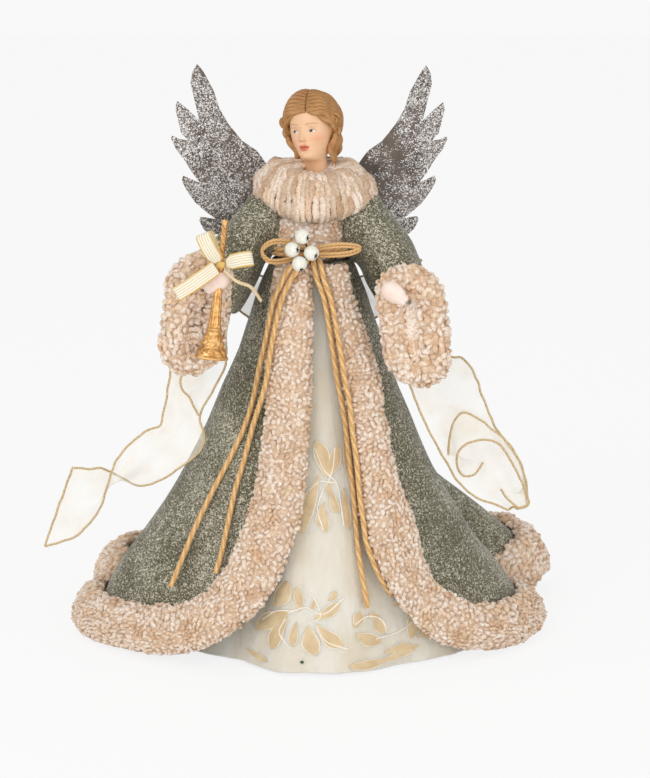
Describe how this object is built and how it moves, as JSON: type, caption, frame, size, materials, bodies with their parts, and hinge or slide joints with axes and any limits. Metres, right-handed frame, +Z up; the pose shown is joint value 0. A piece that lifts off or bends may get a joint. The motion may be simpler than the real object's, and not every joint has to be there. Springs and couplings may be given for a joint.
{
  "type": "angel tree topper",
  "caption": "Standing angel tree topper: cloth-dressed figure on a hollow cone, in a looped-yarn trimmed coat, with an organza stole, movable sleeves and wings, and a horn.",
  "frame": {"origin": "the hollow cone's axis on the plane where the topper stands", "axes": "+Z up, the figure faces -Y, +X to the viewer's right"},
  "size_m": [0.3446, 0.2457, 0.406],
  "materials": {
    "cone_board": "plain card",
    "ivory_satin": "ivory satin with a soft sheen",
    "sheer_overlay": null,
    "stiff_net": "stiff net",
    "coat_felt": "olive-grey felt with silver glitter flecks",
    "looped_yarn": "pinkish beige looped yarn with frosted tips",
    "skin": "painted, matt",
    "hair": "golden brown moulded waves",
    "twine": "natural jute",
    "berry": "off-white with a dark tip",
    "wire": "plain wire",
    "gold_horn": "antique gold",
    "ribbon": "cream ribbon with gold edges",
    "wing_sheet": "dark brown sheet with silver glitter",
    "organza": "ivory organza with twisted gold wired edges"
  },
  "bodies": {
    "figure": {"core_cone": "cone_board", "satin_underskirt": "ivory_satin", "sheer_overskirt": "sheer_overlay", "net_petticoat": "stiff_net", "coat": "coat_felt", "front_trim_left": "looped_yarn", "front_trim_right": "looped_yarn", "hem_trim_back": "looped_yarn", "torso_form": "cone_board", "bodice": "looped_yarn", "collar": "looped_yarn", "head": "skin", "hair": "hair", "waist_twine": "twine", "bow_knot": "twine", "bow_loop_left": "twine", "bow_loop_right": "twine", "twine_tail_left_outer": "twine", "twine_tail_left_inner": "twine", "twine_tail_right_inner": "twine", "twine_tail_right_outer": "twine", "berry_1": "berry", "berry_2": "berry", "berry_3": "berry", "berry_4": "berry", "stole_back": "organza", "wing_bracket": "wire"},
    "arm_left": {"arm_wire_left": "wire", "sleeve_left": "coat_felt", "cuff_left": "looped_yarn", "hand_left": "skin", "trumpet": "gold_horn", "ribbon_knot": "ribbon", "ribbon_loop_up": "ribbon", "ribbon_loop_side": "ribbon", "ribbon_tail": "ribbon", "ribbon_tail_side": "ribbon", "stole_panel_left": "organza", "stole_saddle_left": "organza"},
    "arm_right": {"arm_wire_right": "wire", "sleeve_right": "coat_felt", "cuff_right": "looped_yarn", "hand_right": "skin", "stole_panel_right": "organza", "stole_saddle_right": "organza"},
    "wing_left_body": {"wing_left": "wing_sheet", "wing_wire_left": "wire"},
    "wing_right_body": {"wing_right": "wing_sheet", "wing_wire_right": "wire"}
  },
  "joints": [
    {"name": "shoulder_left", "type": "hinge", "parent": "figure", "child": "arm_left", "pos_m": [-0.034, -0.002, 0.314], "axis": [0, 1, 0], "range_deg": [0, 15]},
    {"name": "shoulder_right", "type": "hinge", "parent": "figure", "child": "arm_right", "pos_m": [0.034, -0.002, 0.314], "axis": [0, -1, 0], "range_deg": [0, 15]},
    {"name": "wing_hinge_left", "type": "hinge", "parent": "figure", "child": "wing_left_body", "pos_m": [-0.009, 0.0275, 0.297], "axis": [0, 0, -1], "range_deg": [-8, 25]},
    {"name": "wing_hinge_right", "type": "hinge", "parent": "figure", "child": "wing_right_body", "pos_m": [0.009, 0.0275, 0.297], "axis": [0, 0, 1], "range_deg": [-25, 8]}
  ]
}
